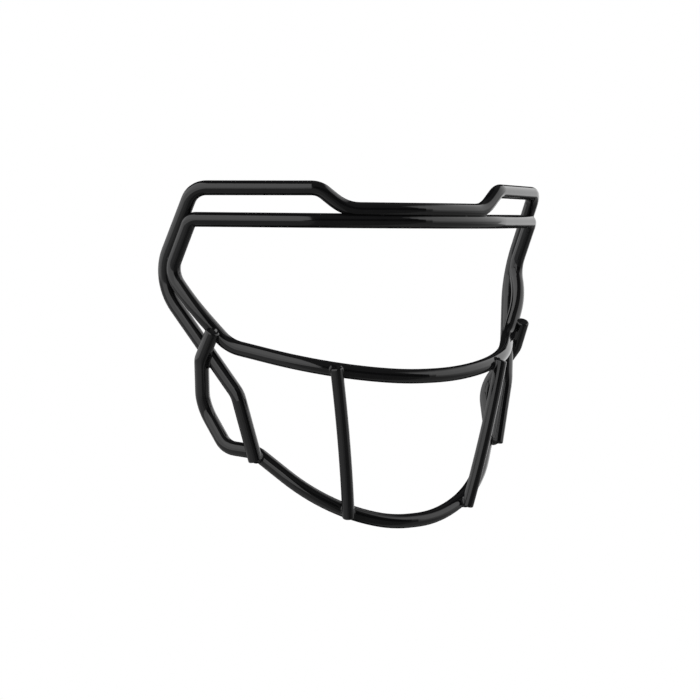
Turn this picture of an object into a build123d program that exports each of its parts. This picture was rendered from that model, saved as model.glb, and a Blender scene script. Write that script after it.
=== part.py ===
from build123d import *
import math
import os

os.makedirs("parts", exist_ok=True)

# Football helmet facemask, in millimetres, as it is worn: +Z up, -Y is the front, and +X is
# the wearer's left. The origin is the middle of the overall box. Both halves are alike, so
# every wire is drawn on the +X half and mirrored.

# Overall size
OVERALL_HEIGHT = 173.5
OVERALL_DEPTH = 79.3

# Rod stock and coating
FRAME_ROD = 5.2
UPRIGHT_ROD = 4.2
COAT = 1.0
END_ROUNDING = 0.9

# Welds: metal left between two crossing rods, and the spot's width
WELD = 0.3
WELD_SPOT = 3.6
WELD_COVER = 0.7
BUTT_UPSET = 0.2

# A short straight stretch at the middle of each cross bar
MIDDLE_FLAT = 2.0

# Places of the bends. X is outward from the middle. BACK is behind the foremost wire and AHEAD
# is in front of the rearmost. DROP is below the crown wire and RISE is above the chin wire.

# Eye frame
BROW_BACK = 4.5
BROW_DROP = 15.7
BROW_BOW_X = 34.4
BROW_CORNER_X = 105.9
BROW_CORNER_AHEAD = 19.8
BROW_CORNER_BEND = 4.0
TEMPLE_X = 108.2
TEMPLE_AHEAD = 4.0
TEMPLE_DROP = 41.8
TEMPLE_BEND = 10.7
UPPER_CHEEK_X = 102.7
UPPER_CHEEK_AHEAD = 15.4
UPPER_CHEEK_DROP = 56.9
UPPER_CHEEK_BEND = 65.6
CHEEK_X = 87.1
CHEEK_AHEAD = 25.3
CHEEK_DROP = 77.4
CHEEK_BEND = 17.3
MOUTH_SIDE_X = 53.3
MOUTH_SIDE_BACK = 8.2
MOUTH_SIDE_DROP = 88.3
MOUTH_SIDE_BEND = 90.1
MOUTH_BOW_X = 12.7
MOUTH_DROP = 92.0

# Outer frame: a dip that lies on the brow bar, shoulders, temples and a leg to the chin wire
DIP_TURN = 18.0
RISE_X = 42.2
RISE_BEND = 21.3
SHOULDER_X = 54.7
SHOULDER_BACK = 16.6
SHOULDER_BEND = 10.0
CROWN_CORNER_X = 105.9
CROWN_CORNER_AHEAD = 22.8
CROWN_CORNER_DROP = 0.5
CROWN_CORNER_BEND = 9.4
OUTER_TEMPLE_BEND = 26.0
JAW_X = 83.7
JAW_AHEAD = 28.3
JAW_RISE = 65.1
JAW_BEND = 12.2

# Chin wire: its bar under the chin and the hook at each side
CHIN_BACK = 13.3
CHIN_BOW_X = 11.5
CHIN_SIDE_X = 45.9
CHIN_SIDE_BACK = 20.5
CHIN_SIDE_RISE = 8.4
CHIN_SIDE_BEND = 80.4
HOOK_FOOT_X = 72.7
HOOK_FOOT_AHEAD = 26.9
HOOK_FOOT_RISE = 35.9
HOOK_FOOT_BEND = 15.9
HOOK_HEEL_X = 82.9
HOOK_HEEL_AHEAD = 16.1
HOOK_HEEL_RISE = 37.6
HOOK_HEEL_BEND = 9.5
HOOK_KNEE_X = 89.1
HOOK_KNEE_AHEAD = 3.0
HOOK_KNEE_RISE = 58.1
HOOK_KNEE_BEND = 14.5
HOOK_TIP_BEND = 8.0

# How far each wire reaches past the middle of a wire that it is welded to
TEMPLE_RUN_ON = 14.4
LEG_OVER = 0.5
HOOK_OVER = 0.8
UPRIGHT_OVER = 1.2
UPRIGHT_BOW = 1.3

# Where the welds lie, as shares of the half wire that carries them
DIP_WELD_SHARE = 0.085
TEMPLE_WELD_SHARE = 0.476
LEG_WELD_SHARE = 0.839
HOOK_CROSS_SHARE = 0.788
HOOK_TIP_SHARE = 0.617
UPRIGHT_TOP_SHARE = 0.833
UPRIGHT_FOOT_SHARE = 0.211

# How far a crossing wire's direction leans to the front or inward, as a share of its length
TEMPLE_LEAN_SHARE = 0.36
HOOK_TIP_LEAN_SHARE = -0.03
HOOK_CROSS_LEAN_SHARE = -0.06

CORNER_ROUNDS = 6

frame_radius = FRAME_ROD / 2
upright_radius = UPRIGHT_ROD / 2
frame_pitch = FRAME_ROD + WELD
upright_pitch = frame_radius + WELD + upright_radius
crown_z = OVERALL_HEIGHT / 2 - frame_radius - COAT
chin_z = -crown_z
back_y = OVERALL_DEPTH / 2 - frame_radius - COAT
front_y = -back_y
brow_y = front_y + BROW_BACK
brow_z = crown_z - BROW_DROP
FRONT = Vector(0, -1, 0)
OUTSIDE = Vector(1, 0, 0)


def bow_radius(middle, corner, after):
    """Radius of the bend at corner whose arc starts where the bar's middle flat ends."""
    turn = (corner - middle).get_angle(after - corner)
    return ((corner - middle).length - MIDDLE_FLAT) / math.tan(math.radians(turn / 2))


def half_line(points, bends):
    """Centre line of half a wire: straight runs joined by tangent arcs."""
    with BuildLine() as path:
        FilletPolyline(*points, radius=bends)
    return path.wire()


def crossing(line, share, across, outward, pitch):
    """A place on the line, and the place one pitch outward, square to both wires."""
    normal = (line % share).cross(across).normalized()
    if normal.dot(outward) < 0:
        normal = -normal
    return line @ share, line @ share + normal * pitch


def corner_beyond(touch, before, after, bend):
    """Corner between two runs whose arc has its middle at touch."""
    corner = touch
    for _ in range(CORNER_ROUNDS):
        inward = (before - corner).normalized() + (after - corner).normalized()
        half_turn = math.radians(180 - (before - corner).get_angle(after - corner)) / 2
        corner = touch - inward.normalized() * bend * (1 / math.cos(half_turn) - 1)
    return corner


# Eye frame line: brow bar, temple, cheek and mouth bar
brow_middle = Vector(0, brow_y, brow_z)
brow_bow = Vector(BROW_BOW_X, brow_y, brow_z)
brow_corner = Vector(BROW_CORNER_X, back_y - BROW_CORNER_AHEAD, brow_z)
temple = Vector(TEMPLE_X, back_y - TEMPLE_AHEAD, crown_z - TEMPLE_DROP)
upper_cheek = Vector(UPPER_CHEEK_X, back_y - UPPER_CHEEK_AHEAD, crown_z - UPPER_CHEEK_DROP)
cheek = Vector(CHEEK_X, back_y - CHEEK_AHEAD, crown_z - CHEEK_DROP)
mouth_side = Vector(MOUTH_SIDE_X, front_y + MOUTH_SIDE_BACK, crown_z - MOUTH_SIDE_DROP)
mouth_bow = Vector(MOUTH_BOW_X, front_y, crown_z - MOUTH_DROP)
mouth_middle = Vector(0, front_y, crown_z - MOUTH_DROP)
brow_radius = bow_radius(brow_middle, brow_bow, brow_corner)
mouth_radius = bow_radius(mouth_middle, mouth_bow, mouth_side)
eye_corners = [
    brow_middle,
    brow_bow,
    brow_corner,
    temple,
    upper_cheek,
    cheek,
    mouth_side,
    mouth_bow,
    mouth_middle,
]
eye_bends = [
    brow_radius,
    BROW_CORNER_BEND,
    TEMPLE_BEND,
    UPPER_CHEEK_BEND,
    CHEEK_BEND,
    MOUTH_SIDE_BEND,
    mouth_radius,
]
eye_line = half_line(eye_corners, eye_bends)

# Chin bar line, up to the heel of the hook
chin_middle = Vector(0, front_y + CHIN_BACK, chin_z)
chin_bow = Vector(CHIN_BOW_X, front_y + CHIN_BACK, chin_z)
chin_side = Vector(CHIN_SIDE_X, front_y + CHIN_SIDE_BACK, chin_z + CHIN_SIDE_RISE)
hook_foot = Vector(HOOK_FOOT_X, back_y - HOOK_FOOT_AHEAD, chin_z + HOOK_FOOT_RISE)
hook_heel = Vector(HOOK_HEEL_X, back_y - HOOK_HEEL_AHEAD, chin_z + HOOK_HEEL_RISE)
hook_knee = Vector(HOOK_KNEE_X, back_y - HOOK_KNEE_AHEAD, chin_z + HOOK_KNEE_RISE)
chin_bends = [bow_radius(chin_middle, chin_bow, chin_side), CHIN_SIDE_BEND, HOOK_FOOT_BEND]
chin_corners = [chin_middle, chin_bow, chin_side, hook_foot, hook_heel]
chin_bar_line = half_line(chin_corners, chin_bends)

# Outer frame line: its dip follows the brow bar's bow, one pitch above it, and its temple
# touches the back of the eye frame's temple and runs on to its own bend
dip_z = brow_z + frame_pitch
dip_bow_x = MIDDLE_FLAT + brow_radius * math.tan(math.radians(DIP_TURN / 2))
rise_y = brow_y + (RISE_X - dip_bow_x) * math.tan(math.radians(DIP_TURN))
crown_corner = Vector(
    CROWN_CORNER_X, back_y - CROWN_CORNER_AHEAD, crown_z - CROWN_CORNER_DROP
)
temple_across = OUTSIDE + FRONT * TEMPLE_LEAN_SHARE
eye_temple, outer_touch = crossing(
    eye_line, TEMPLE_WELD_SHARE, temple_across, -FRONT, frame_pitch
)
outer_temple = outer_touch + (outer_touch - crown_corner).normalized() * TEMPLE_RUN_ON
jaw = Vector(JAW_X, back_y - JAW_AHEAD, chin_z + JAW_RISE)
leg_run = chin_bar_line @ LEG_WELD_SHARE + FRONT * frame_pitch - jaw
chin_under_leg, leg_seat = crossing(chin_bar_line, LEG_WELD_SHARE, leg_run, FRONT, frame_pitch)
leg_tip = leg_seat + (leg_seat - jaw).normalized() * LEG_OVER
outer_corners = [
    Vector(0, brow_y, dip_z),
    Vector(dip_bow_x, brow_y, dip_z),
    Vector(RISE_X, rise_y, dip_z),
    Vector(SHOULDER_X, front_y + SHOULDER_BACK, crown_z),
    crown_corner,
    outer_temple,
    jaw,
    leg_tip,
]
outer_bends = [
    brow_radius,
    RISE_BEND,
    SHOULDER_BEND,
    CROWN_CORNER_BEND,
    OUTER_TEMPLE_BEND,
    JAW_BEND,
]
outer_line = half_line(outer_corners, outer_bends)

# Whole chin wire line: the hook passes outside the outer frame and ends on the eye frame
tip_rise = (temple - hook_knee).normalized() - OUTSIDE * HOOK_TIP_LEAN_SHARE
eye_under_tip, tip_seat = crossing(eye_line, HOOK_TIP_SHARE, tip_rise, OUTSIDE, frame_pitch)
cross_rise = (tip_seat - hook_knee).normalized() - OUTSIDE * HOOK_CROSS_LEAN_SHARE
outer_under_hook, hook_seat = crossing(
    outer_line, HOOK_CROSS_SHARE, cross_rise, OUTSIDE, frame_pitch
)
hook_tip = tip_seat + (tip_seat - hook_seat).normalized() * HOOK_OVER
hook_bend = corner_beyond(hook_seat, hook_knee, hook_tip, HOOK_TIP_BEND)
chin_line = half_line(
    chin_corners + [hook_knee, hook_bend, hook_tip],
    chin_bends + [HOOK_HEEL_BEND, HOOK_KNEE_BEND, HOOK_TIP_BEND],
)

# Upright bar line: slightly bowed, on the front of the mouth bar and the chin bar
bars_apart = mouth_middle - chin_middle
mouth_under_upright, upright_top_seat = crossing(
    eye_line, UPRIGHT_TOP_SHARE, bars_apart, FRONT, upright_pitch
)
chin_under_upright, upright_foot_seat = crossing(
    chin_line, UPRIGHT_FOOT_SHARE, bars_apart, FRONT, upright_pitch
)
upright_rise = (upright_top_seat - upright_foot_seat).normalized()
with BuildLine() as upright_path:
    ThreePointArc(
        upright_top_seat + upright_rise * UPRIGHT_OVER,
        (upright_top_seat + upright_foot_seat) / 2 + FRONT * UPRIGHT_BOW,
        upright_foot_seat - upright_rise * UPRIGHT_OVER,
    )
upright_line = upright_path.wire()


def start_plane(line):
    """Plane square to a line at its start."""
    return Plane(origin=line @ 0, z_dir=line % 0)


def lengthened(line, start, end):
    """The line with a straight piece added before its start and after its end."""
    edges = list(line.edges())
    if start:
        edges.append(Edge.make_line(line @ 0 - line % 0 * start, line @ 0))
    if end:
        edges.append(Edge.make_line(line @ 1, line @ 1 + line % 1 * end))
    return Wire(edges)


def end_edge(bar, place):
    """The edge round the flat end of a bar nearest to a place."""
    flat_ends = bar.faces().filter_by(GeomType.PLANE)
    return flat_ends.sort_by_distance(place)[0].edges()


# Coated lines reach past the free ends of the rods by the thickness of the coating
outer_coated_line = lengthened(outer_line, 0, COAT)
chin_coated_line = lengthened(chin_line, 0, COAT)
upright_coated_line = lengthened(upright_line, COAT, COAT)
frame_coated_radius = frame_radius + COAT
upright_coated_radius = upright_radius + COAT

# Outer frame wire: dip, shoulders, temples and legs, bent from one rod
with BuildPart() as outer_frame_wire:
    with BuildSketch(start_plane(outer_line)):
        Circle(frame_radius)
    sweep(path=outer_line)
    mirror(about=Plane.YZ)

# Eye frame wire: a closed loop from one rod, with its butt joint at the middle of the brow
with BuildPart() as eye_frame_wire:
    with BuildSketch(start_plane(eye_line)):
        Circle(frame_radius)
    sweep(path=eye_line)
    mirror(about=Plane.YZ)
    with Locations(brow_middle):
        Box(WELD, FRAME_ROD, FRAME_ROD, mode=Mode.SUBTRACT)

# Chin wire: the bar in front of the chin, with a hook bent up and out at each side
with BuildPart() as chin_wire:
    with BuildSketch(start_plane(chin_line)):
        Circle(frame_radius)
    sweep(path=chin_line)
    mirror(about=Plane.YZ)

# Upright wires: two bars of thinner rod between the mouth bar and the chin bar
with BuildPart() as left_upright_wire:
    with BuildSketch(start_plane(upright_line)):
        Circle(upright_radius)
    sweep(path=upright_line)
with BuildPart() as right_upright_wire:
    mirror(left_upright_wire.part, about=Plane.YZ)

wires = {
    "outer_frame_wire": outer_frame_wire.part,
    "eye_frame_wire": eye_frame_wire.part,
    "chin_wire": chin_wire.part,
    "left_upright_wire": left_upright_wire.part,
    "right_upright_wire": right_upright_wire.part,
}

# Spot welds: the middle of the carrying wire, and the middle of the wire that it carries
eye_under_dip = eye_line @ DIP_WELD_SHARE
weld_places = {
    "dip": (eye_under_dip, eye_under_dip + Vector(0, 0, frame_pitch)),
    "temple": (eye_temple, outer_touch),
    "leg": (chin_under_leg, leg_seat),
    "hook_cross": (outer_under_hook, hook_seat),
    "hook_tip": (eye_under_tip, tip_seat),
    "upright_top": (mouth_under_upright, upright_top_seat),
    "upright_foot": (chin_under_upright, upright_foot_seat),
}


def weld_post(name, radius):
    """A round post square to both wires of a weld, from the middle of one to the other's."""
    under, over = weld_places[name]
    with BuildPart() as post:
        with BuildSketch(Plane(origin=under, z_dir=over - under)):
            Circle(radius)
        extrude(amount=(over - under).length)
    return post.part


# What the wires leave of each post is the weld metal between them
welds = {}
weld_pads = {}
for name in weld_places:
    post = weld_post(name, WELD_SPOT / 2)
    weld_pads[name] = weld_post(name, WELD_SPOT / 2 + WELD_COVER)
    with BuildPart() as left_weld:
        add(post)
        add(wires.values(), mode=Mode.SUBTRACT)
    with BuildPart() as right_weld:
        mirror(left_weld.part, about=Plane.YZ)
    welds["left_" + name + "_weld"] = left_weld.part
    welds["right_" + name + "_weld"] = right_weld.part

# Butt weld that closes the eye frame's loop, upset a little wider than the rod
with BuildPart() as brow_butt_weld:
    with BuildSketch(Plane(origin=brow_middle, z_dir=OUTSIDE)):
        Circle(frame_radius + BUTT_UPSET)
    extrude(amount=WELD / 2, both=True)
welds["brow_butt_weld"] = brow_butt_weld.part
steel = list(wires.values()) + list(welds.values())

# Coated bodies: each wire in its coating, with a pad of coating round each weld
with BuildPart() as eye_frame_body:
    with BuildSketch(start_plane(eye_line)):
        Circle(frame_coated_radius)
    sweep(path=eye_line)
    mirror(about=Plane.YZ)

with BuildPart() as outer_frame_body:
    with BuildSketch(start_plane(outer_coated_line)):
        Circle(frame_coated_radius)
    sweep(path=outer_coated_line)
    fillet(end_edge(outer_frame_body, outer_coated_line @ 1), END_ROUNDING)
    add([weld_pads["dip"], weld_pads["temple"]])
    mirror(about=Plane.YZ)

with BuildPart() as chin_body:
    with BuildSketch(start_plane(chin_coated_line)):
        Circle(frame_coated_radius)
    sweep(path=chin_coated_line)
    fillet(end_edge(chin_body, chin_coated_line @ 1), END_ROUNDING)
    add([weld_pads["leg"], weld_pads["hook_cross"], weld_pads["hook_tip"]])
    mirror(about=Plane.YZ)

with BuildPart() as left_upright_body:
    with BuildSketch(start_plane(upright_coated_line)):
        Circle(upright_coated_radius)
    sweep(path=upright_coated_line)
    for end in (0, 1):
        fillet(end_edge(left_upright_body, upright_coated_line @ end), END_ROUNDING)
    add([weld_pads["upright_top"], weld_pads["upright_foot"]])

# Coatings: what is left round the steel, where one coating runs into the next
with BuildPart() as eye_frame_coat:
    add(eye_frame_body.part)
    add(steel, mode=Mode.SUBTRACT)

with BuildPart() as outer_frame_coat:
    add(outer_frame_body.part)
    add([eye_frame_body.part] + steel, mode=Mode.SUBTRACT)

with BuildPart() as chin_coat:
    add(chin_body.part)
    add([eye_frame_body.part, outer_frame_body.part] + steel, mode=Mode.SUBTRACT)

with BuildPart() as left_upright_coat:
    add(left_upright_body.part)
    add([eye_frame_body.part, chin_body.part] + steel, mode=Mode.SUBTRACT)

with BuildPart() as right_upright_coat:
    mirror(left_upright_coat.part, about=Plane.YZ)

coats = {
    "eye_frame_coat": eye_frame_coat.part,
    "outer_frame_coat": outer_frame_coat.part,
    "chin_coat": chin_coat.part,
    "left_upright_coat": left_upright_coat.part,
    "right_upright_coat": right_upright_coat.part,
}

for name, part in {**wires, **welds, **coats}.items():
    part.label = name
    export_step(part, "parts/" + name + ".step")
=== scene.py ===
import math

import bpy
from mathutils import Matrix, Vector


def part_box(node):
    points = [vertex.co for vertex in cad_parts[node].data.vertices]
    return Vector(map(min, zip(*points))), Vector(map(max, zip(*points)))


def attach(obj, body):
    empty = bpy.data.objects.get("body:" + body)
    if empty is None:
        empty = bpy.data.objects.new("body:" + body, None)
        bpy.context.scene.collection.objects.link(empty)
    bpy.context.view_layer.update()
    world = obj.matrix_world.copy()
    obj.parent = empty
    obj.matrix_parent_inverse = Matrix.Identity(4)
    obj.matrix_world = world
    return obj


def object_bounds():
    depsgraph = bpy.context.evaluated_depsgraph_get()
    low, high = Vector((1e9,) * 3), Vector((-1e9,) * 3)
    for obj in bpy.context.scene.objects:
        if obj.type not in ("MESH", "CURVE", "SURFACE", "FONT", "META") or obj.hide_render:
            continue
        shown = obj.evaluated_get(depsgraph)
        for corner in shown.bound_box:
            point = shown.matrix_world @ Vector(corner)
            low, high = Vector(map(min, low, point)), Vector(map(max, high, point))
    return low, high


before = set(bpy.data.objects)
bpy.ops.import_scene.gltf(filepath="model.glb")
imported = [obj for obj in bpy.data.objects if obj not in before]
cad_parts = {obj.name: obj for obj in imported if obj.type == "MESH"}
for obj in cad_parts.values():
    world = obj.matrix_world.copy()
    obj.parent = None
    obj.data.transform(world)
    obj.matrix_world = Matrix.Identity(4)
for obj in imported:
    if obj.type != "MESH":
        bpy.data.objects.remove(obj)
cad_low, cad_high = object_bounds()

# The bent wires: five lengths of drawn mild-steel rod, cut, bent cold and welded where they cross.
# The coating hides them, but they keep their own finish, so that a bare or cut-open mask looks right.
MM = 0.001
DRAWN_STEEL = "#8d8f92"
MILL_SHADE = "#6b6a68"
STEEL_ROUGHNESS = (0.32, 0.48)
OIL_PATCH = 9 * MM
DRAW_LINES = 0.35 * MM
DRAW_DEPTH = 0.01 * MM
DRAW_STRENGTH = 0.3


def linear(colour):
    """A hex colour as the four linear values that a shader takes."""
    shares = [int(colour[i:i + 2], 16) / 255 for i in (1, 3, 5)]
    bent = [s / 12.92 if s <= 0.04045 else ((s + 0.055) / 1.055) ** 2.4 for s in shares]
    return (*bent, 1.0)


def add(tree, kind, settings=None, **links):
    """Adds a node with its settings, and links or sets its sockets, by name or as i0, i1 and so on."""
    node = tree.nodes.new(kind)
    for name, value in (settings or {}).items():
        setattr(node, name, value)
    for name, value in links.items():
        numbered = name[0] == "i" and name[1:].isdigit()
        socket = node.inputs[int(name[1:]) if numbered else name.replace("_", " ")]
        if isinstance(value, bpy.types.NodeSocket):
            tree.links.new(value, socket)
        else:
            socket.default_value = value
    return node


def new_finish(name):
    """A new material of that name, with its node tree and its main shader."""
    material = bpy.data.materials.new(name)
    material.use_nodes = True
    tree = material.node_tree
    return material, tree, tree.nodes["Principled BSDF"]


def dress(ending, finish):
    """Gives that finish to all CAD nodes whose names end so, and returns them."""
    nodes = [node for name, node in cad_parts.items() if name.endswith(ending)]
    for node in nodes:
        node.data.materials.clear()
        node.data.materials.append(finish)
    return nodes


# Cold-drawn mild steel: dull grey metal with fine lines left by the die and thin patches of mill oil.
steel_finish, tree, steel = new_finish("cold_drawn_mild_steel")
place = add(tree, "ShaderNodeTexCoord").outputs["Object"]
oil = add(tree, "ShaderNodeTexNoise", Vector=place, Scale=1 / OIL_PATCH, Detail=4.0).outputs["Fac"]
lines = add(tree, "ShaderNodeTexNoise", Vector=place, Scale=1 / DRAW_LINES, Detail=2.0).outputs["Fac"]
shade = add(
    tree, "ShaderNodeMix", {"data_type": "RGBA"},
    i0=oil, i6=linear(MILL_SHADE), i7=linear(DRAWN_STEEL),
)
dullness = add(
    tree, "ShaderNodeMapRange", Value=oil, To_Min=STEEL_ROUGHNESS[0], To_Max=STEEL_ROUGHNESS[1]
)
scratches = add(
    tree, "ShaderNodeBump", Strength=DRAW_STRENGTH, Distance=DRAW_DEPTH, Height=lines
)
tree.links.new(shade.outputs[2], steel.inputs["Base Color"])
tree.links.new(dullness.outputs["Result"], steel.inputs["Roughness"])
tree.links.new(scratches.outputs["Normal"], steel.inputs["Normal"])
steel.inputs["Metallic"].default_value = 1.0
dress("_wire", steel_finish)

# The welds: small beads of filler metal at each crossing, left as welded under the coating.
# Their metal is darker than the rod, rippled, and tinted straw and blue by the heat.
WELD_STRAW = "#8a7c66"
WELD_BLUE = "#565a66"
WELD_ROUGHNESS = (0.4, 0.6)
TINT_PATCH = 3 * MM
RIPPLE = 0.8 * MM
RIPPLE_DEPTH = 0.1 * MM
RIPPLE_STRENGTH = 0.6

# Steel as welded: metal that set in ripples and kept the colours of the heat.
weld_finish, tree, weld = new_finish("as_welded_steel")
place = add(tree, "ShaderNodeTexCoord").outputs["Object"]
tint = add(tree, "ShaderNodeTexNoise", Vector=place, Scale=1 / TINT_PATCH, Detail=3.0).outputs["Fac"]
ripples = add(tree, "ShaderNodeTexNoise", Vector=place, Scale=1 / RIPPLE, Detail=2.0).outputs["Fac"]
shade = add(
    tree, "ShaderNodeMix", {"data_type": "RGBA"},
    i0=tint, i6=linear(WELD_BLUE), i7=linear(WELD_STRAW),
)
dullness = add(
    tree, "ShaderNodeMapRange", Value=ripples, To_Min=WELD_ROUGHNESS[0], To_Max=WELD_ROUGHNESS[1]
)
relief = add(
    tree, "ShaderNodeBump", Strength=RIPPLE_STRENGTH, Distance=RIPPLE_DEPTH, Height=ripples
)
tree.links.new(shade.outputs[2], weld.inputs["Base Color"])
tree.links.new(dullness.outputs["Result"], weld.inputs["Roughness"])
tree.links.new(relief.outputs["Normal"], weld.inputs["Normal"])
weld.inputs["Metallic"].default_value = 1.0
dress("_weld", weld_finish)

# The coating: black thermoplastic powder, fused on the hot wires into one smooth glossy skin.
# It flows out with a faint orange peel and a slow waviness that make its long reflections waver a little.
COAT_BLACK = "#0b0b0c"
COAT_PALER = "#121213"
COAT_ROUGHNESS = (0.05, 0.09)
COAT_IOR = 1.5
FLOW_WAVES = 9 * MM
WAVE_DEPTH = 0.03 * MM
ORANGE_PEEL = 1.4 * MM
PEEL_DEPTH = 0.002 * MM

# Fused powder coating: nearly black, with sharp reflections that soften where it flowed less.
coat_finish, tree, coat = new_finish("fused_black_powder_coating")
place = add(tree, "ShaderNodeTexCoord").outputs["Object"]
waves = add(tree, "ShaderNodeTexNoise", Vector=place, Scale=1 / FLOW_WAVES, Detail=2.0).outputs["Fac"]
peel = add(tree, "ShaderNodeTexNoise", Vector=place, Scale=1 / ORANGE_PEEL, Detail=1.0).outputs["Fac"]
shade = add(
    tree, "ShaderNodeMix", {"data_type": "RGBA"},
    i0=waves, i6=linear(COAT_BLACK), i7=linear(COAT_PALER),
)
gloss = add(
    tree, "ShaderNodeMapRange", Value=waves, To_Min=COAT_ROUGHNESS[0], To_Max=COAT_ROUGHNESS[1]
)
slow = add(tree, "ShaderNodeBump", Strength=1.0, Distance=WAVE_DEPTH, Height=waves)
fine = add(
    tree, "ShaderNodeBump", Strength=1.0, Distance=PEEL_DEPTH, Height=peel, Normal=slow.outputs["Normal"]
)
tree.links.new(shade.outputs[2], coat.inputs["Base Color"])
tree.links.new(gloss.outputs["Result"], coat.inputs["Roughness"])
tree.links.new(fine.outputs["Normal"], coat.inputs["Normal"])
coat.inputs["IOR"].default_value = COAT_IOR
coats = dress("_coat", coat_finish)

# The weld beads: filler metal that stands a little proud in the corners between two rods, under the
# same coating. Each starts as a copy of the coatings around its weld, fused and smoothed, so that it
# sinks under the wires everywhere but in the corners, where it shows as a soft fillet.
BEAD_JOINTS = ["leg", "hook_cross", "upright_top", "upright_foot"]
BEAD_REACH = 8.5 * MM
BEAD_RADIUS = 3.2 * MM
BEAD_GRAIN = 0.28 * MM
BEAD_FLOW = 0.5
BEAD_PASSES = 40
SAME_POINT = 0.001 * MM


def take_up(piece):
    """Opens a piece in edit mode, with all of it selected and nothing else."""
    bpy.ops.object.select_all(action="DESELECT")
    piece.select_set(True)
    bpy.context.view_layer.objects.active = piece
    bpy.ops.object.mode_set(mode="EDIT")
    bpy.ops.mesh.select_all(action="SELECT")


def own_copy(source, name):
    """A new object with its own copy of a mesh."""
    piece = bpy.data.objects.new(name, source.data.copy())
    bpy.context.scene.collection.objects.link(piece)
    return piece


def cut_to(piece, middle, reach):
    """Merges a closed mesh's doubles, cuts it to a cube around a place and closes its cut ends."""
    take_up(piece)
    bpy.ops.mesh.remove_doubles(threshold=SAME_POINT)
    for axis in range(3):
        for side in (1, -1):
            outward = Vector((0, 0, 0))
            outward[axis] = side
            bpy.ops.mesh.select_all(action="SELECT")
            bpy.ops.mesh.bisect(
                plane_co=middle + outward * reach, plane_no=outward, clear_outer=True, use_fill=True
            )
    bpy.ops.object.mode_set(mode="OBJECT")


def apply_new(piece, kind, **settings):
    """Adds a modifier with its settings and applies it."""
    modifier = piece.modifiers.new(kind.lower(), kind)
    for name, value in settings.items():
        setattr(modifier, name, value)
    bpy.ops.object.modifier_apply(modifier=modifier.name)


for joint in BEAD_JOINTS:
    low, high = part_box(f"left_{joint}_weld")
    middle = (Vector(low) + Vector(high)) / 2
    stubs = []
    for skin in coats:
        stub = own_copy(skin, "stub")
        cut_to(stub, middle, BEAD_REACH)
        if len(stub.data.vertices):
            stubs.append(stub)
        else:
            bpy.data.objects.remove(stub)
    bpy.ops.object.select_all(action="DESELECT")
    bpy.ops.mesh.primitive_ico_sphere_add(subdivisions=4, radius=BEAD_RADIUS, location=middle)
    bead = bpy.context.object
    bpy.ops.object.transform_apply(location=True)
    for stub in stubs:
        stub.select_set(True)
    bpy.ops.object.join()
    apply_new(bead, "REMESH", mode="VOXEL", voxel_size=BEAD_GRAIN)
    apply_new(bead, "SMOOTH", factor=BEAD_FLOW, iterations=BEAD_PASSES)
    bpy.ops.object.shade_smooth()
    bead.name = f"left_{joint}_bead"
    twin = own_copy(bead, f"right_{joint}_bead")
    twin.data.transform(Matrix.Scale(-1, 4, (1, 0, 0)))
    take_up(twin)
    bpy.ops.mesh.normals_make_consistent(inside=False)
    bpy.ops.object.mode_set(mode="OBJECT")
    for piece in (bead, twin):
        piece.data.materials.clear()
        piece.data.materials.append(coat_finish)
        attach(piece, "root")

# The floor: a sheet of matt white paper well below the mask, which hangs free of it as in the
# photograph. It takes the soft shadow, and fades into the white surroundings at its edge.
FLOOR_DROP = 0.30
FLOOR_RADIUS = 0.62
FLOOR_SIDES = 96
FADE_SHARE = 0.35
FLOOR_PALE = "#f2f2f1"
FLOOR_ROUGHNESS = 0.9
IN_PLAN = (1, 1, 0)


def eased(tree, source, start, end):
    """A value that goes smoothly from 0 at the start to 1 at the end."""
    step = add(
        tree, "ShaderNodeMapRange", {"interpolation_type": "SMOOTHSTEP"},
        Value=source, From_Min=start, From_Max=end,
    )
    return step.outputs[0]


bpy.ops.object.select_all(action="DESELECT")
floor_place = (0, 0, cad_low.z - FLOOR_DROP)
bpy.ops.mesh.primitive_circle_add(
    vertices=FLOOR_SIDES, radius=FLOOR_RADIUS, fill_type="NGON", location=floor_place
)
floor = bpy.context.object
floor.name = "floor"
bpy.ops.object.transform_apply(location=True)

# Matt white paper: flat and pale. The coating doesn't mirror it, and it gets thinner towards its edge.
floor_finish, tree, paper = new_finish("matt_white_paper")
paper.inputs["Base Color"].default_value = linear(FLOOR_PALE)
paper.inputs["Roughness"].default_value = FLOOR_ROUGHNESS
place = add(tree, "ShaderNodeNewGeometry").outputs["Position"]
flat_place = add(tree, "ShaderNodeVectorMath", {"operation": "MULTIPLY"}, i0=place, i1=IN_PLAN)
away = add(tree, "ShaderNodeVectorMath", {"operation": "LENGTH"}, i0=flat_place.outputs[0])
faded = eased(tree, away.outputs["Value"], FADE_SHARE * FLOOR_RADIUS, FLOOR_RADIUS)
mirrored = add(tree, "ShaderNodeLightPath").outputs["Is Glossy Ray"]
unseen = add(tree, "ShaderNodeMath", {"operation": "MAXIMUM"}, i0=mirrored, i1=faded)
gone = add(tree, "ShaderNodeBsdfTransparent")
shown = add(
    tree, "ShaderNodeMixShader", i0=unseen.outputs[0], i1=paper.outputs[0], i2=gone.outputs[0]
)
tree.links.new(shown.outputs[0], tree.nodes["Material Output"].inputs["Surface"])
floor.data.materials.append(floor_finish)

# The studio: white panels on both sides of the mask and behind it, a dim table below, a dim ceiling
# above, and a dark gap in front, where the camera stands. The coating mirrors them, and the camera
# itself sees plain white. Azimuth 0 is in front of the mask, and 90 is on the wearer's left.

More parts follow.
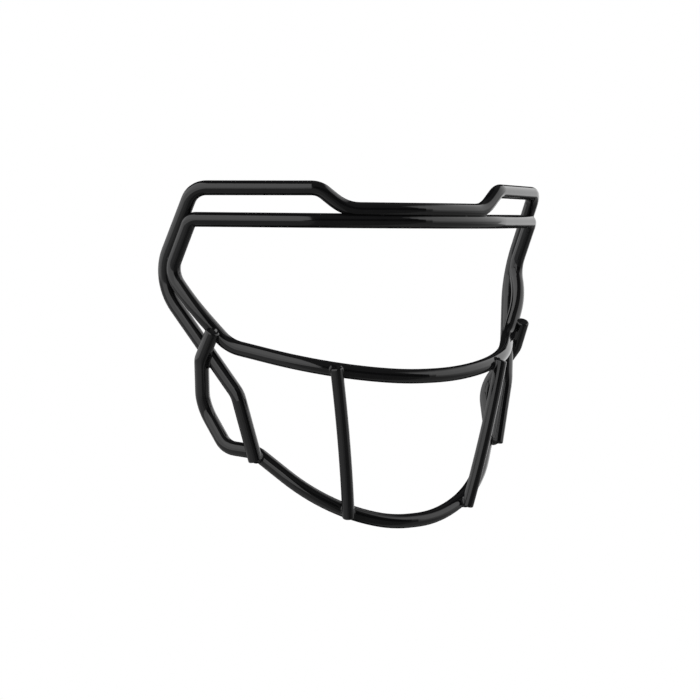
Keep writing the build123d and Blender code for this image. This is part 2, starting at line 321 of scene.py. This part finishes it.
# A panel stands upright. Its numbers are its azimuth, its left, right, lower and upper edge as seen
# straight at it, all in degrees, its brightness, and the softness of its sides and of its ends.
PANELS = [
    (-90, -61, 58, -19, 18, 1.35, 4, 2),  # the tall panel on the wearer's right, its lower part
    (-90, -61, 60, 12, 76, 1.70, 5, 6),  # its brighter upper part
    (75, -38, 43, -5, 52, 1.45, 5, 18),  # the panel on the wearer's left
    (75, -38, 45, -20, -2, 0.60, 3, 3),  # its dim foot
    (113, -17, 15, -15, 27, 1.50, 3, 3),  # the narrow panel beside it, further back
    (-170, -22, 25, -10, 22, 0.80, 5, 5),  # the low panel behind the mask
]
# A dim zone's numbers are its middle azimuth and half its width, its lowest and highest elevation,
# its brightness and its softness.
DIM_ZONES = [
    (-120, 64, -90, -6, 0.47, 8),  # the table on the wearer's right and behind
    (-45, 18, -90, -4, 0.30, 3),  # the table on the wearer's right, in front
    (3, 34, -90, -3, 0.12, 3),  # the table straight in front
    (3, 34, 28, 90, 0.10, 3),  # the ceiling over the gap
    (75, 42, -90, -16, 0.30, 6),  # the table on the wearer's left
    (95, 60, 44, 90, 0.10, 12),  # the ceiling on the wearer's left
]
GAP_LEVEL = 0.015
FILL = 0.35
WHITE = (1, 1, 1, 1)

world = bpy.data.worlds.new("white_studio")
bpy.context.scene.world = world
world.use_nodes = True
tree = world.node_tree
tree.nodes.clear()


def between(source, low, high, soft):
    """One inside a range, none outside it, with soft ends."""
    rise = eased(tree, source, low - soft, low + soft)
    fall = eased(tree, source, high + soft, high - soft)
    return add(tree, "ShaderNodeMath", {"operation": "MULTIPLY"}, i0=rise, i1=fall).outputs[0]


def lit_too(level, strength, *shares):
    """The surroundings with one more light, as strong as it says and only as wide as its shares."""
    light = strength
    for share in shares:
        light = add(tree, "ShaderNodeMath", {"operation": "MULTIPLY"}, i0=light, i1=share).outputs[0]
    return add(tree, "ShaderNodeMath", {"operation": "MAXIMUM"}, i0=light, i1=level).outputs[0]


ray = add(tree, "ShaderNodeTexCoord").outputs["Generated"]
parts = add(tree, "ShaderNodeSeparateXYZ", Vector=ray).outputs
level = GAP_LEVEL
for turn, left, right, low, high, strength, side_soft, end_soft in PANELS:
    turn = math.radians(turn)
    facing = (math.sin(turn), -math.cos(turn), 0)
    along = (math.cos(turn), math.sin(turn), 0)
    ahead = add(tree, "ShaderNodeVectorMath", {"operation": "DOT_PRODUCT"}, i0=ray, i1=facing)
    ahead = ahead.outputs["Value"]
    aside = add(tree, "ShaderNodeVectorMath", {"operation": "DOT_PRODUCT"}, i0=ray, i1=along)
    aside = aside.outputs["Value"]
    across = add(tree, "ShaderNodeMath", {"operation": "DIVIDE"}, i0=aside, i1=ahead).outputs[0]
    up = add(tree, "ShaderNodeMath", {"operation": "DIVIDE"}, i0=parts["Z"], i1=ahead).outputs[0]
    in_front = add(tree, "ShaderNodeMath", {"operation": "GREATER_THAN"}, i0=ahead, i1=0.0).outputs[0]
    width = [math.tan(math.radians(angle)) for angle in (left, right, side_soft)]
    height = [math.tan(math.radians(angle)) for angle in (low, high, end_soft)]
    level = lit_too(level, strength, in_front, between(across, *width), between(up, *height))

front = add(tree, "ShaderNodeMath", {"operation": "MULTIPLY"}, i0=parts["Y"], i1=-1.0).outputs[0]
azimuth = add(tree, "ShaderNodeMath", {"operation": "ARCTAN2"}, i0=parts["X"], i1=front).outputs[0]
elevation = add(tree, "ShaderNodeMath", {"operation": "ARCSINE"}, i0=parts["Z"]).outputs[0]
for middle, half, low, high, strength, soft in DIM_ZONES:
    middle, half, low, high, soft = (math.radians(angle) for angle in (middle, half, low, high, soft))
    off = add(tree, "ShaderNodeMath", {"operation": "SUBTRACT"}, i0=azimuth, i1=middle).outputs[0]
    turned = add(tree, "ShaderNodeMath", {"operation": "COSINE"}, i0=off).outputs[0]
    apart = add(tree, "ShaderNodeMath", {"operation": "ARCCOSINE"}, i0=turned).outputs[0]
    level = lit_too(level, strength, between(apart, -half, half, soft), between(elevation, low, high, soft))

paths = add(tree, "ShaderNodeLightPath").outputs
white = add(tree, "ShaderNodeMath", i0=paths["Is Camera Ray"], i1=paths["Is Transmission Ray"])
seen = add(tree, "ShaderNodeMath", i0=white.outputs[0], i1=paths["Is Glossy Ray"])
mirrored = add(tree, "ShaderNodeMix", i0=paths["Is Glossy Ray"], i2=1.0, i3=level)
strength = add(tree, "ShaderNodeMix", i0=seen.outputs[0], i2=FILL, i3=mirrored.outputs[0])
sky = add(tree, "ShaderNodeBackground", Color=WHITE, Strength=strength.outputs[0])
add(tree, "ShaderNodeOutputWorld", Surface=sky.outputs[0])

# The lamps: a large soft box on the left and one on the right, as the camera sees them, for the floor's
# soft shadow. The coating doesn't mirror them, because the panels stand for them there.
# Their numbers are azimuth and elevation in degrees, width in metres and power in watts.
LAMPS = [("left_soft_box", -85, 28, 1.5, 22), ("right_soft_box", 80, 20, 1.1, 14)]
LAMP_DISTANCE = 1.6


def towards(azimuth, elevation):
    """The direction of a place as seen from the mask."""
    turn, rise = math.radians(azimuth), math.radians(elevation)
    return Vector((math.sin(turn) * math.cos(rise), -math.cos(turn) * math.cos(rise), math.sin(rise)))


for name, azimuth, elevation, width, power in LAMPS:
    light = bpy.data.lights.new(name, "AREA")
    light.shape = "SQUARE"
    light.size = width
    light.energy = power
    lamp = bpy.data.objects.new(name, light)
    bpy.context.scene.collection.objects.link(lamp)
    lamp.location = towards(azimuth, elevation) * LAMP_DISTANCE
    lamp.rotation_euler = (-lamp.location).to_track_quat("-Z", "Y").to_euler()
    lamp.visible_camera = False
    lamp.visible_glossy = False

# The camera: a long lens a little above the mask's middle, on the wearer's right, rolled half a degree.
# The lens is given by its focal length in pixels of the picture.
CAMERA_AZIMUTH = -33.701
CAMERA_ELEVATION = 4.239
CAMERA_ROLL = 0.543
CAMERA_DISTANCE = 0.98166
CAMERA_TARGET = Vector((4.79, 41.46, -1.39)) * MM
FOCAL_PIXELS = 1847.1
PICTURE = 700
SENSOR = 36

lens = bpy.data.cameras.new("studio_camera")
lens.sensor_width = SENSOR
lens.lens = FOCAL_PIXELS / PICTURE * SENSOR
camera = bpy.data.objects.new("studio_camera", lens)
bpy.context.scene.collection.objects.link(camera)
back = towards(CAMERA_AZIMUTH, CAMERA_ELEVATION)
level_turn = (-back).to_track_quat("-Z", "Y").to_matrix().to_4x4()
roll = Matrix.Rotation(math.radians(CAMERA_ROLL), 4, "Z")
camera.matrix_world = Matrix.Translation(CAMERA_TARGET + back * CAMERA_DISTANCE) @ level_turn @ roll
bpy.context.scene.camera = camera
bpy.context.scene.view_settings.view_transform = "Standard"
